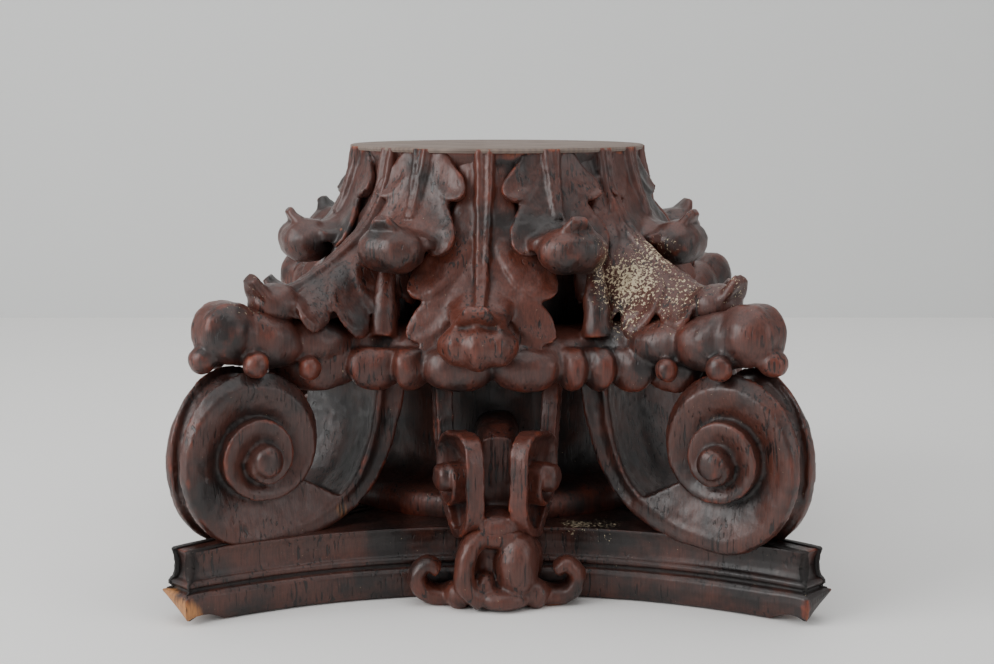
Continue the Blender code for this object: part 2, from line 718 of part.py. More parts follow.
def fuse(block):
    """Fuses the shells into one solid and thins it to broad flat faces."""
    mesh = bpy.data.meshes.new("capital")
    mesh.from_pydata(block.points, [], block.faces)
    capital = bpy.data.objects.new("capital", mesh)
    bpy.context.scene.collection.objects.link(capital)
    remesh = capital.modifiers.new("Fuse", "REMESH")
    remesh.mode = "VOXEL"
    remesh.voxel_size = VOXEL
    remesh.adaptivity = 0.0
    bpy.context.view_layer.update()
    fused = capital.evaluated_get(bpy.context.evaluated_depsgraph_get())
    face_total = 2 * len(fused.data.polygons)
    thin = capital.modifiers.new("Thin", "DECIMATE")
    thin.ratio = FACE_COUNT / face_total
    bpy.context.view_layer.update()
    fused = capital.evaluated_get(bpy.context.evaluated_depsgraph_get())
    work = bmesh.new()
    work.from_mesh(fused.data)
    wear_front_corners(work)
    capital.modifiers.clear()
    cut_neck_and_base(work)
    work.to_mesh(mesh)
    work.free()
    mesh.shade_smooth()
    mesh.set_sharp_from_angle(angle=math.radians(SMOOTH_ANGLE))
    return capital


def wood():
    """Dark stained and waxed wood."""
    material = bpy.data.materials.new("stained_wood")
    material.use_nodes = True
    shader = material.node_tree.nodes["Principled BSDF"]
    shader.inputs["Base Color"].default_value = WOOD_COLOUR
    shader.inputs["Roughness"].default_value = 0.45
    shader.inputs["Metallic"].default_value = 0.0
    return material


for old in list(bpy.context.scene.objects):
    bpy.data.objects.remove(old, do_unlink=True)

block = Block()
add_abacus(block)
add_bell(block)
add_calyx_ring(block)
add_hem(block, CALYX_TURN)
for side in range(SIDES):
    front = 90.0 * side
    corner = front + 45.0
    add_upper_leaf(block, front - UPPER_LEAF_OFFSET + LEAF_TURN)
    add_upper_leaf(block, front + UPPER_LEAF_OFFSET + LEAF_TURN)
    add_middle_leaf(block, front + LEAF_TURN)
    add_corner_leaf(block, corner + CORNER_TURN)
    add_calyx_corner(block, corner + CALYX_TURN)
    add_stalks(block, front + CALYX_TURN)
    add_volute(block, corner + VOLUTE_TURN)
    add_helices(block, front)
    add_flower(block, front)
capital = fuse(block)
capital.data.materials.append(wood())
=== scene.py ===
"""A Corinthian capital carved from one block of dark stained wood, standing upside down.

The script follows the block from its core outwards: bell and neck, abacus, flowers, small
scrolls, volutes, calyx, then the rows of leaves. Everything is in metres, in the CAD's frame.
"""

import math

import bmesh
import bpy
import numpy as np
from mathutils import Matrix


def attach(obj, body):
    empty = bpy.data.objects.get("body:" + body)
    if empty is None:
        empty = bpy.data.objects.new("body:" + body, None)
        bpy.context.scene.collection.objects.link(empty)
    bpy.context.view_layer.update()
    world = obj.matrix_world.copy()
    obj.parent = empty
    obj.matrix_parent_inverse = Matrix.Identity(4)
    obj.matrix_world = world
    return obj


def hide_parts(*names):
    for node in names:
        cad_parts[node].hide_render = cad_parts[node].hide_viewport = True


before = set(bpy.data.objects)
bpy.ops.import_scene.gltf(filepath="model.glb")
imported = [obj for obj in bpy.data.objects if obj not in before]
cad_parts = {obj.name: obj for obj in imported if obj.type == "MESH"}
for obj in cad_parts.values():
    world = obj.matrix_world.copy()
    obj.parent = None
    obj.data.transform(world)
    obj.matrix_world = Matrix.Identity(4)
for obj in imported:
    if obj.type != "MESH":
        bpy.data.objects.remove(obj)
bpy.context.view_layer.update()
bpy.ops.object.select_all(action="DESELECT")

# Camera, light and floor
# A camera at the photograph's height and tilt, a wide soft window-like light from the left, a
# weaker one from above, and a plain pale table with a light grey wall behind it.
CAMERA_PLACE = (0.0, -1.475, 0.407)
CAMERA_TILT = 8.3
CAMERA_LENS = 59.4
FLOOR_COLOUR = "#f2f1ef"
WALL_COLOUR = "#dcdddc"


def to_linear(code):
    """Turns an sRGB hex colour into linear values with full alpha."""
    values = []
    for k in (1, 3, 5):
        v = int(code[k : k + 2], 16) / 255
        values.append(v / 12.92 if v <= 0.04045 else ((v + 0.055) / 1.055) ** 2.4)
    return (*values, 1.0)


def add_node(tree, kind, inputs=(), **options):
    """Adds a node, sets its options, and links or sets the inputs given as (socket, value)."""
    made = tree.nodes.new(kind)
    for name, value in options.items():
        setattr(made, name, value)
    for name, value in inputs:
        if isinstance(value, bpy.types.NodeSocket):
            tree.links.new(value, made.inputs[name])
        else:
            made.inputs[name].default_value = value
    return made


def plain_paint(name, colour, roughness):
    """Matt paint or paper with the faintest unevenness of tone."""
    material = bpy.data.materials.new(name)
    material.use_nodes = True
    tree = material.node_tree
    shader = tree.nodes["Principled BSDF"]
    place = add_node(tree, "ShaderNodeTexCoord")
    tone = add_node(tree, "ShaderNodeTexNoise", (("Vector", place.outputs["Object"]), ("Scale", 3.0)))
    blend = add_node(
        tree, "ShaderNodeMix",
        ((0, tone.outputs["Fac"]), (6, to_linear(colour)), (7, tuple(0.97 * v for v in to_linear(colour)))),
        data_type="RGBA",
    )
    tree.links.new(blend.outputs[2], shader.inputs["Base Color"])
    shader.inputs["Roughness"].default_value = roughness
    return material


camera = bpy.data.objects.new("camera", bpy.data.cameras.new("camera"))
bpy.context.scene.collection.objects.link(camera)
camera.location = CAMERA_PLACE
camera.rotation_euler = (math.radians(90.0 - CAMERA_TILT), 0.0, 0.0)
camera.data.lens = CAMERA_LENS
camera.data.sensor_width = 36.0
bpy.context.scene.camera = camera

for name, place, size, power, aim in (
    ("window", (-1.9, -1.1, 1.25), 1.7, 46.0, (0.0, 0.0, 0.15)),
    ("ceiling", (0.1, -0.2, 2.2), 2.4, 26.0, (0.0, 0.0, 0.1)),
    ("far_side", (1.9, -1.2, 0.9), 1.3, 9.0, (0.0, 0.0, 0.15)),
):
    lamp = bpy.data.objects.new(name, bpy.data.lights.new(name, "AREA"))
    bpy.context.scene.collection.objects.link(lamp)
    lamp.data.shape = "SQUARE"
    lamp.data.size = size
    lamp.data.energy = power
    lamp.location = place
    way = np.array(aim) - np.array(place)
    lamp.rotation_euler = (
        math.atan2(math.hypot(way[0], way[1]), -way[2]), 0.0, math.atan2(way[1], way[0]) - math.pi / 2,
    )

world = bpy.data.worlds.new("room")
bpy.context.scene.world = world
world.use_nodes = True
world.node_tree.nodes["Background"].inputs["Color"].default_value = to_linear("#e9eaea")
world.node_tree.nodes["Background"].inputs["Strength"].default_value = 0.55

for name, points, paint in (
    ("table", ((-3, -2.5, 0), (3, -2.5, 0), (3, 1.5, 0), (-3, 1.5, 0)),
     plain_paint("matt table", FLOOR_COLOUR, 0.8)),
    ("wall", ((-3, 1.5, -0.5), (3, 1.5, -0.5), (3, 1.5, 2.5), (-3, 1.5, 2.5)),
     plain_paint("matt wall", WALL_COLOUR, 0.9)),
):
    sheet = bpy.data.meshes.new(name)
    sheet.from_pydata(points, [], [(0, 1, 2, 3)])
    sheet.materials.append(paint)
    backdrop = bpy.data.objects.new(name, sheet)
    bpy.context.scene.collection.objects.link(backdrop)

# Bell and neck
# The core of the block, turned to a bell with a rounded lip over the abacus. Its small end is the
# sawn neck, where the end grain shows dusty and grey-brown.
HEIGHT = 0.362
BELL_PROFILE = (
    (0.030, 0.118),
    (0.044, 0.138),
    (0.052, 0.150),
    (0.058, 0.1535),
    (0.070, 0.1545),
    (0.076, 0.151),
    (0.080, 0.143),
    (0.086, 0.121),
    (0.100, 0.114),
    (0.150, 0.112),
    (0.200, 0.116),
    (0.300, 0.118),
    (0.340, 0.122),
    (0.354, 0.126),
    (0.3612, 0.128),
)
UPWARD = np.array([0.0, 0.0, 1.0])


def outward(azimuth):
    """Direction away from the block's axis at an azimuth in degrees, 0 being the front."""
    a = math.radians(azimuth)
    return np.array([math.sin(a), -math.cos(a), 0.0])


def aside(azimuth):
    """Direction along the face at an azimuth, to the right of someone who looks at it."""
    a = math.radians(azimuth)
    return np.array([math.cos(a), math.sin(a), 0.0])


def smooth_curve(points, count):
    """Points at equal distances on a smooth curve through the given points."""
    p = np.asarray(points, float)
    p = np.vstack([2 * p[0] - p[1], p, 2 * p[-1] - p[-2]])
    dense = []
    for a, b, c, d in zip(p, p[1:], p[2:], p[3:]):
        for f in np.linspace(0.0, 1.0, 16, endpoint=False):
            dense.append(
                0.5 * (2 * b + (c - a) * f + (2 * a - 5 * b + 4 * c - d) * f**2
                       + (3 * b - 3 * c + d - a) * f**3)
            )
    dense = np.array(dense + [p[-2]])
    length = np.concatenate([[0.0], np.cumsum(np.linalg.norm(np.diff(dense, axis=0), axis=1))])
    wanted = np.linspace(0.0, length[-1], count)
    return np.column_stack([np.interp(wanted, length, dense[:, k]) for k in range(p.shape[1])])


def oval(count, power=1.0):
    """Unit oval around a section, squarer as the power falls."""
    a = np.linspace(0.0, 2 * math.pi, count, endpoint=False)
    c = np.cos(a)
    s = np.sin(a)
    return np.sign(c) * np.abs(c) ** power, np.sign(s) * np.abs(s) ** power


class Carving:
    """Closed skins that overlap like the roughed-out forms of one carving."""

    def __init__(self):
        self.points = []
        self.faces = []
        self.count = 0

    def skin(self, rings, ring_shut=False):
        """Skins rings of points into a closed form, its ends capped or joined to each other."""
        rings = np.asarray(rings, float)
        rows, size = rings.shape[:2]
        start = self.count
        self.points.append(rings.reshape(-1, 3))
        self.count += rows * size
        ahead = np.roll(np.arange(size), -1)
        for i in range(rows if ring_shut else rows - 1):
            a = start + i * size
            b = start + (i + 1) % rows * size
            here = np.arange(size)
            self.faces.extend(np.column_stack([a + here, a + ahead, b + ahead, b + here]).tolist())
        if ring_shut:
            return
        for ring, base in ((rings[0], start), (rings[-1], start + (rows - 1) * size)):
            self.points.append(ring.mean(axis=0)[None])
            middle = np.full(size, self.count)
            self.count += 1
            self.faces.extend(np.column_stack([middle, base + np.arange(size), base + ahead]).tolist())


def carve(forms, name, voxel, keep, uneven=0.0011, soften=2, top=None, bottom=None):
    """Fuses the forms into one skin, rounds its arrises as handling does, and leaves it uneven.

    The skin is fused finely and then thinned to the share of its faces given by keep.
    """
    sheet = bpy.data.meshes.new(name)
    sheet.from_pydata(np.vstack(forms.points), [], forms.faces)
    piece = bpy.data.objects.new(name, sheet)
    bpy.context.scene.collection.objects.link(piece)
    fuse = piece.modifiers.new("Fuse", "REMESH")
    fuse.mode = "VOXEL"
    fuse.voxel_size = voxel
    rub = piece.modifiers.new("Rub", "SMOOTH")
    rub.factor = 0.5
    rub.iterations = soften
    for label, scale, depth in (("Gouge", 0.016, 1.0), ("Knife", 0.0055, 0.35)):
        cloud = bpy.data.textures.new(name + label, "CLOUDS")
        cloud.noise_scale = scale
        cloud.noise_depth = 1
        wobble = piece.modifiers.new(label, "DISPLACE")
        wobble.texture = cloud
        wobble.texture_coords = "GLOBAL"
        wobble.strength = 2.0 * uneven * depth
        wobble.mid_level = 0.5
    thin = piece.modifiers.new("Thin", "DECIMATE")
    thin.ratio = keep
    for modifier in list(piece.modifiers):
        with bpy.context.temp_override(object=piece):
            bpy.ops.object.modifier_apply(modifier=modifier.name)
    work = bmesh.new()
    work.from_mesh(piece.data)
    for height, way in ((bottom, -1.0), (top, 1.0)):
        if height is not None:
            cut = bmesh.ops.bisect_plane(
                work, geom=work.verts[:] + work.edges[:] + work.faces[:], dist=1e-6,
                plane_co=(0, 0, height), plane_no=(0, 0, way), clear_outer=True,
            )
            rim = [e for e in cut["geom_cut"] if isinstance(e, bmesh.types.BMEdge)]
            bmesh.ops.holes_fill(work, edges=rim, sides=0)
    bmesh.ops.triangulate(work, faces=[f for f in work.faces if len(f.verts) > 4])
    bmesh.ops.recalc_face_normals(work, faces=work.faces[:])
    work.to_mesh(piece.data)
    work.free()
    piece.data.shade_smooth()
    return piece


def mark_relief(piece, reach=9):
    """Stores how proud and how sunken each point lies against the surface around it."""
    data = piece.data
    count = len(data.vertices)
    place = np.empty(count * 3)
    data.vertices.foreach_get("co", place)
    place = place.reshape(-1, 3)
    normal = np.empty(count * 3)
    data.vertices.foreach_get("normal", normal)
    normal = normal.reshape(-1, 3)
    edges = np.empty(len(data.edges) * 2, int)
    data.edges.foreach_get("vertices", edges)
    a, b = edges.reshape(-1, 2).T
    share = np.maximum(np.bincount(a, minlength=count) + np.bincount(b, minlength=count), 1)

    def spread(values):
        total = np.bincount(a, values[b], count) + np.bincount(b, values[a], count)
        return 0.4 * values + 0.6 * total / share

    soft = place.copy()
    for step in range(reach):
        soft = np.column_stack([spread(soft[:, k]) for k in range(3)])
        if step == 1:
            near = np.einsum("ij,ij->i", place - soft, normal)
    far = np.einsum("ij,ij->i", place - soft, normal)
    for step in range(3):
        near = spread(near)
        far = spread(far)
    proud = np.clip(near / 0.00035, 0.0, 1.0) * 0.6 + np.clip(far / 0.0022, 0.0, 1.0) * 0.5
    sunken = np.clip(-near / 0.00035, 0.0, 1.0) * 0.4 + np.clip(-far / 0.0020, 0.0, 1.0) * 0.7
    for name, values in (("proud", proud), ("sunken", sunken)):
        layer = data.attributes.new(name, "FLOAT", "POINT")
        layer.data.foreach_set("value", np.clip(values, 0.0, 1.0).astype(np.float32))


def mark_spots(piece, name, spots):
    """Stores how strongly each point lies in round spots of (x, y, z, radius, strength)."""
    data = piece.data
    place = np.empty(len(data.vertices) * 3)
    data.vertices.foreach_get("co", place)
    place = place.reshape(-1, 3)
    values = np.zeros(len(place))
    for x, y, z, radius, strength in spots:
        gap = np.linalg.norm(place - (x, y, z), axis=1) / radius
        values = np.maximum(values, strength * np.clip(1.0 - gap**2, 0.0, 1.0))
    layer = data.attributes.new(name, "FLOAT", "POINT")
    layer.data.foreach_set("value", values.astype(np.float32))


GESSO_SPOTS = (
    (0.104, -0.160, 0.262, 0.040, 1.0),
    (0.092, -0.178, 0.285, 0.020, 0.55),
    (0.135, -0.135, 0.280, 0.035, 0.75),
    (0.150, -0.160, 0.240, 0.050, 0.55),
    (0.185, -0.190, 0.262, 0.030, 0.45),
    (0.110, -0.155, 0.225, 0.030, 0.6),
    (0.066, -0.165, 0.060, 0.020, 0.8),
    (0.090, -0.165, 0.060, 0.024, 0.6),
    (-0.200, -0.200, 0.247, 0.025, 0.35),
)
BARE_SPOTS = (
    (-0.243, -0.258, 0.006, 0.022, 0.9),
    (-0.256, -0.244, 0.015, 0.020, 0.8),
    (0.252, -0.252, 0.006, 0.020, 0.35),
    (-0.129, -0.172, 0.071, 0.013, 0.55),
)


def waxed_wood(name, dark, red, redness, rubbed, roughness):
    """Wood stained nearly black and waxed, rubbed through to red-brown on whatever stands proud.

    Purple-grey patches are painted into the colour as the wax's sheen in the light, the open grain
    reads as short dark checks that lean with the block's grain, and old gesso stays as cream flecks in
    the hollows.
    """
    material = bpy.data.materials.new(name)
    material.use_nodes = True
    tree = material.node_tree
    shader = tree.nodes["Principled BSDF"]
    place = add_node(tree, "ShaderNodeTexCoord").outputs["Object"]
    along_grain = add_node(
        tree, "ShaderNodeMapping",
        (("Vector", place), ("Rotation", (math.radians(4.0), math.radians(-13.0), 0.0)),
         ("Scale", (1.0, 1.0, 0.075))),
    ).outputs["Vector"]
    proud = add_node(tree, "ShaderNodeAttribute", attribute_name="proud").outputs["Fac"]
    sunken = add_node(tree, "ShaderNodeAttribute", attribute_name="sunken").outputs["Fac"]
    gesso = add_node(tree, "ShaderNodeAttribute", attribute_name="gesso").outputs["Fac"]
    bare = add_node(tree, "ShaderNodeAttribute", attribute_name="bare").outputs["Fac"]

    def noise(vector, scale, detail, lumps=0.5):
        made = add_node(
            tree, "ShaderNodeTexNoise",
            (("Vector", vector), ("Scale", scale), ("Detail", detail), ("Roughness", lumps)),
        )
        return made.outputs["Fac"]

    def between(value, low, high, start=0.0, end=1.0):
        made = add_node(
            tree, "ShaderNodeMapRange",
            (("Value", value), ("From Min", low), ("From Max", high), ("To Min", start), ("To Max", end)),
            interpolation_type="SMOOTHSTEP",
        )
        return made.outputs["Result"]

    def sum_of(kind, first, second):
        return add_node(tree, "ShaderNodeMath", ((0, first), (1, second)), operation=kind).outputs[0]

    def blend(share, first, second, kind="MIX"):
        return add_node(
            tree, "ShaderNodeMix", ((0, share), (6, first), (7, second)), data_type="RGBA", blend_type=kind,
        ).outputs[2]

    stain = between(noise(place, 17.0, 6.0, 0.6), 0.50 - 0.25 * redness, 0.72 - 0.25 * redness)
    colour = blend(stain, to_linear(dark), to_linear(red))
    # Painted sheen: random purple-grey patches in the colour stand in for the wax's sheen in the light.
    painted_sheen = between(noise(place, 9.0, 4.0), 0.42, 0.70, 0.0, 0.35)
    colour = blend(painted_sheen, colour, to_linear("#3b3130"))
    ragged = noise(along_grain, 230.0, 5.0, 0.65)
    patchy = noise(place, 42.0, 4.0, 0.6)
    smears = sum_of("MULTIPLY", between(patchy, 0.45, 0.7), 0.25)
    worn = sum_of("MULTIPLY", sum_of("ADD", proud, smears), rubbed)
    worn_soft = between(sum_of("ADD", worn, sum_of("MULTIPLY", ragged, 0.45)), 0.62, 1.05)
    worn_hard = between(sum_of("ADD", worn, sum_of("MULTIPLY", ragged, 0.55)), 0.98, 1.32, 0.0, 0.8)
    colour = blend(worn_soft, colour, to_linear("#6b3020"))
    colour = blend(worn_hard, colour, to_linear("#9c5a30"))
    bare_wood = between(sum_of("ADD", bare, sum_of("MULTIPLY", ragged, 0.5)), 0.55, 0.95)
    colour = blend(bare_wood, colour, to_linear("#a8713f"))
    # Painted shade: the sunken hollows are darkened towards near black in the colour, standing in for the shade that
    # gathers there; the same mask also makes them rougher.
    painted_hollow_shade = between(sunken, 0.12, 0.75, 0.0, 0.85)
    colour = blend(painted_hollow_shade, colour, to_linear("#0d0908"))
    fibre = between(noise(along_grain, 700.0, 3.0), 0.3, 0.7, 0.72, 1.16)
    colour = blend(1.0, colour, fibre, "MULTIPLY")
    check_mask = between(noise(place, 30.0, 3.0), 0.46, 0.56)
    checks = between(noise(along_grain, 430.0, 2.0, 0.4), 0.585, 0.635)
    checks = sum_of("MULTIPLY", checks, check_mask)
    colour = blend(sum_of("MULTIPLY", checks, 0.85), colour, to_linear("#070505"))
    crumbs = noise(place, 420.0, 3.0, 0.7)
    fleck_share = sum_of("ADD", gesso, sum_of("MULTIPLY", sunken, 0.10))
    flecks = between(sum_of("ADD", sum_of("MULTIPLY", fleck_share, 0.30), crumbs), 0.72, 0.76)
    colour = blend(flecks, colour, to_linear("#c9b99a"))
    tree.links.new(colour, shader.inputs["Base Color"])

    dull = sum_of("ADD", between(ragged, 0.3, 0.75, roughness - 0.07, roughness + 0.10),
                  sum_of("MULTIPLY", sum_of("MAXIMUM", painted_hollow_shade, flecks), 0.35))
    tree.links.new(dull, shader.inputs["Roughness"])
    shader.inputs["IOR"].default_value = 1.5
    shader.inputs["Coat Weight"].default_value = 0.12
    shader.inputs["Coat Roughness"].default_value = 0.3
    height = sum_of("ADD", sum_of("MULTIPLY", noise(along_grain, 520.0, 4.0, 0.6), 0.35),
                    sum_of("MULTIPLY", noise(place, 110.0, 3.0), 0.8))
    height = sum_of("SUBTRACT", height, sum_of("MULTIPLY", checks, 0.9))
    height = sum_of("ADD", height, sum_of("MULTIPLY", flecks, 0.7))
    bump = add_node(tree, "ShaderNodeBump", (("Height", height), ("Strength", 0.55), ("Distance", 0.0009)))
    tree.links.new(bump.outputs["Normal"], shader.inputs["Normal"])
    return material


def dress(piece, material):
    """Marks a finished piece's relief and spots, and gives it its wood."""
    mark_relief(piece)
    mark_spots(piece, "gesso", GESSO_SPOTS)
    mark_spots(piece, "bare", BARE_SPOTS)
    piece.data.materials.append(material)


forms = Carving()
c, s = oval(160)
bell = smooth_curve(BELL_PROFILE, 70)
forms.skin([np.column_stack([r * c, r * s, np.full(160, z)]) for z, r in bell])
piece = carve(forms, "bell", 0.0040, 0.60, uneven=0.0009, soften=1)
dress(piece, waxed_wood("stained waxed wood, turned bell", "#1c1311", "#4a261c", 0.55, 0.7, 0.46))
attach(piece, "root")
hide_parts("capital")

# Neck face
# The sawn top of the block, a thin disc of end grain that is left unwaxed and has greyed with
# dust. It lies over the top of the leaves and the bell.
NECK_RADIUS = 0.131
forms = Carving()
c, s = oval(180)
around = np.linspace(0, 2 * math.pi, 180)
edge = 1.0 + 0.004 * np.sin(3 * around) + 0.003 * np.sin(11 * around)
forms.skin([
    np.column_stack([r * edge * c, r * edge * s, np.full(180, z)])
    for r, z in ((0.124, 0.3575), (NECK_RADIUS - 0.001, 0.3580), (NECK_RADIUS, 0.3600), (NECK_RADIUS - 0.0006, 0.3616),
                 (NECK_RADIUS - 0.0016, 0.3620), (0.100, 0.3620), (0.060, 0.3620), (0.020, 0.3620))
])
sheet = bpy.data.meshes.new("neck")
sheet.from_pydata(np.vstack(forms.points), [], forms.faces)
piece = bpy.data.objects.new("neck", sheet)
bpy.context.scene.collection.objects.link(piece)
sheet.shade_smooth()
sheet.set_sharp_from_angle(angle=math.radians(35))


def sawn_end_grain(name):
    """End grain of the stained block, dusty and grey-brown, with the block's growth rings."""
    material = bpy.data.materials.new(name)
    material.use_nodes = True
    tree = material.node_tree
    shader = tree.nodes["Principled BSDF"]
    place = add_node(tree, "ShaderNodeTexCoord").outputs["Object"]
    rings = add_node(
        tree, "ShaderNodeTexWave",
        (("Vector", add_node(tree, "ShaderNodeMapping", (("Vector", place), ("Location", (0.05, 0.21, 0.0)))).outputs[0]),
         ("Scale", 70.0), ("Distortion", 3.0), ("Detail", 2.0), ("Detail Scale", 0.4)),
        wave_type="RINGS", rings_direction="Z",
    ).outputs["Fac"]
    dust = add_node(tree, "ShaderNodeTexNoise", (("Vector", place), ("Scale", 35.0), ("Detail", 6.0))).outputs["Fac"]
    wood = add_node(
        tree, "ShaderNodeMix", ((0, rings), (6, to_linear("#4c3a31")), (7, to_linear("#6a5649"))), data_type="RGBA",
    ).outputs[2]
    grey = add_node(
        tree, "ShaderNodeMix", ((0, dust), (6, wood), (7, to_linear("#8c8078"))), data_type="RGBA",
    ).outputs[2]
    tree.links.new(grey, shader.inputs["Base Color"])
    shader.inputs["Roughness"].default_value = 0.8
    return material


sheet.materials.append(sawn_end_grain("sawn end grain, unwaxed"))
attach(piece, "root")
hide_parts("capital")


# Abacus
# The slab the capital stands on: hollow sides, cut-off horns, an ovolo below and a bead and a
# shallow hollow above it, run with moulding planes. Knocks have taken the corners nearest the eye.
HORN_LONG = 0.2615
HORN_SHORT = 0.2385
HOLLOW_DEPTH = 0.181
ABACUS_PROFILE = (
    (0.000, 0.0045),
    (0.0015, 0.0022),
    (0.006, 0.0008),
    (0.014, 0.0000),
    (0.021, 0.0008),
    (0.0245, 0.0034),
    (0.0258, 0.0068),
    (0.0270, 0.0070),
    (0.0285, 0.0052),
    (0.0310, 0.0050),
    (0.0330, 0.0066),
    (0.0345, 0.0090),
    (0.0380, 0.0102),
    (0.0440, 0.0110),
    (0.0500, 0.0102),
    (0.0550, 0.0086),
    (0.0564, 0.0090),
    (0.0570, 0.0104),
)
WORN_HEIGHT = 0.026
WORN_RISE = 0.021
WORN_REACH = 0.034
rise = HORN_LONG - HOLLOW_DEPTH
bow = (HORN_SHORT**2 + rise**2) / (2 * rise)
quarter = []
for f in np.linspace(-1.0, 1.0, 121):
    x = f * HORN_SHORT
    quarter.append((x, -(HOLLOW_DEPTH + bow - math.sqrt(bow**2 - x**2))))
for f in np.linspace(0.0, 1.0, 14)[1:-1]:
    quarter.append((HORN_SHORT + f * (HORN_LONG - HORN_SHORT), -HORN_LONG + f * (HORN_LONG - HORN_SHORT)))
quarter = np.array(quarter)
outline = []
for k in range(4):
    a = math.radians(90 * k)
    spin = np.array([[math.cos(a), -math.sin(a)], [math.sin(a), math.cos(a)]])
    outline.extend((quarter @ spin.T).tolist())
outline = np.array(outline)
ahead = np.roll(outline, -1, axis=0) - outline
ahead /= np.linalg.norm(ahead, axis=1)[:, None]
behind = np.roll(ahead, 1, axis=0)
away = np.column_stack([ahead[:, 1] + behind[:, 1], -(ahead[:, 0] + behind[:, 0])])
away /= np.linalg.norm(away, axis=1)[:, None]
away /= np.sum(away * np.column_stack([ahead[:, 1], -ahead[:, 0]]), axis=1)[:, None]
forms = Carving()
rings = []
profile = []
for (z0, i0), (z1, i1) in zip(ABACUS_PROFILE, ABACUS_PROFILE[1:]):
    steps = max(1, round(math.hypot(z1 - z0, i1 - i0) / 0.0014))
    for k in range(steps):
        profile.append((z0 + (z1 - z0) * k / steps, i0 + (i1 - i0) * k / steps))
profile.append(ABACUS_PROFILE[-1])
for z, inset in profile:
    rings.append(np.column_stack([outline - away * inset, np.full(len(outline), z)]))
shares = (0.98, 0.95, 0.9, 0.8, 0.6, 0.3)
under = [np.column_stack([rings[0][:, :2] * f, np.zeros(len(outline))]) for f in reversed(shares)]
over = [np.column_stack([rings[-1][:, :2] * f, np.full(len(outline), 0.057)]) for f in shares]
rings = under + rings + over
forms.skin(rings)
sheet = bpy.data.meshes.new("abacus")
sheet.from_pydata(np.vstack(forms.points), [], forms.faces)
piece = bpy.data.objects.new("abacus", sheet)
bpy.context.scene.collection.objects.link(piece)
place = np.empty(len(sheet.vertices) * 3)
sheet.vertices.foreach_get("co", place)
place = place.reshape(-1, 3)
gap = np.clip(WORN_HEIGHT - place[:, 2], 0.0, None)
along = np.clip((place[:, 1] + HORN_LONG) / (HORN_LONG - HORN_SHORT), 0.0, 1.0)
inward = np.clip((HORN_LONG + HORN_SHORT - np.abs(place[:, 0]) + place[:, 1]) / math.sqrt(2.0), 0.0, None)
share = along * np.clip(1.0 - inward / WORN_REACH, 0.0, 1.0) * (place[:, 1] < 0.0)
place[:, 2] += gap * WORN_RISE * share / WORN_HEIGHT
sheet.vertices.foreach_set("co", place.ravel())
sheet.update()
for label, scale, strength in (("AbacusPlane", 0.05, 0.0009), ("AbacusKnife", 0.009, 0.0005)):
    cloud = bpy.data.textures.new(label, "CLOUDS")
    cloud.noise_scale = scale
    wobble = piece.modifiers.new(label, "DISPLACE")
    wobble.texture = cloud
    wobble.texture_coords = "GLOBAL"
    wobble.strength = strength
    wobble.mid_level = 0.9
    with bpy.context.temp_override(object=piece):
        bpy.ops.object.modifier_apply(modifier=label)
sheet = piece.data
work = bmesh.new()
work.from_mesh(sheet)
bmesh.ops.recalc_face_normals(work, faces=work.faces[:])
for vertex in work.verts:
    if vertex.co.z < 0.0006:
        vertex.co.z = max(vertex.co.z, 0.0)
work.to_mesh(sheet)
work.free()
sheet.shade_smooth()
dress(piece, waxed_wood("stained waxed wood, planed mouldings", "#191110", "#4a261c", 0.45, 0.75, 0.42))
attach(piece, "root")
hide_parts("capital")

# Flowers
# One flower in the middle of each side of the abacus, cut in the same block: a swollen body with
# a long curling petal on the left, smooth lobes on the right, and a curl out to each side.
FLOWER_LOBES = (
    (0.002, 0.188, 0.034, 0.035, 0.022, 0.034),
    (0.016, 0.205, 0.034, 0.018, 0.023, 0.030),
    (0.000, 0.202, 0.058, 0.027, 0.019, 0.011),
    (-0.009, 0.208, 0.020, 0.009, 0.014, 0.011),
    (0.004, 0.210, 0.009, 0.024, 0.020, 0.010),
    (-0.031, 0.206, 0.010, 0.011, 0.014, 0.012),
    (0.031, 0.206, 0.011, 0.011, 0.014, 0.012),
)
FLOWER_PETAL = (
    (-0.010, 0.208, 0.060),
    (-0.021, 0.216, 0.050),
    (-0.026, 0.219, 0.034),
    (-0.024, 0.218, 0.018),
    (-0.012, 0.216, 0.007),
)
FLOWER_CURL = (
    (0.030, 0.196, 0.010),
    (0.046, 0.197, 0.007),
    (0.060, 0.199, 0.013),
    (0.064, 0.201, 0.025),
    (0.056, 0.201, 0.034),
    (0.047, 0.200, 0.029),
)


def knob(forms, centre, azimuth, size, bulges=1, crease=0.0):
    """A rounded knob of the given outward, sideways and upward half sizes, creased into bulges."""
    out = outward(azimuth)
    side = aside(azimuth)
    c, s = oval(32, 0.95)
    rings = []
    for q in -np.cos(np.linspace(0.05, math.pi - 0.05, 36)):
        dent = 1.0 - crease * (0.5 + 0.5 * math.cos(math.pi * bulges * (q + 1.0)))
        if abs(q) > 1.0 - 1.0 / bulges:
            dent = max(dent, 1.0 - crease * (1.0 - abs(q)) * bulges)
        reach = math.sqrt(1.0 - q * q) * dent
        rings.append(
            centre + q * size[1] * side
            + np.outer(c * reach * size[0], out) + np.outer(s * reach * size[2], UPWARD)
        )
    forms.skin(rings)


def branch(forms, path, radii, flat=1.0, across=None):
    """A tapering round branch along a path, its section flattened across a direction."""
    path = np.asarray(path, float)
    run = np.gradient(path, axis=0)
    run /= np.linalg.norm(run, axis=1)[:, None]
    reference = UPWARD if across is None else across
    c, s = oval(20)
    rings = []
    for p, d, r in zip(path, run, radii):
        side = np.cross(reference, d)
        side /= np.linalg.norm(side)
        rings.append(p + np.outer(c * r, side) + np.outer(s * r * flat, np.cross(d, side)))
    forms.skin(rings)


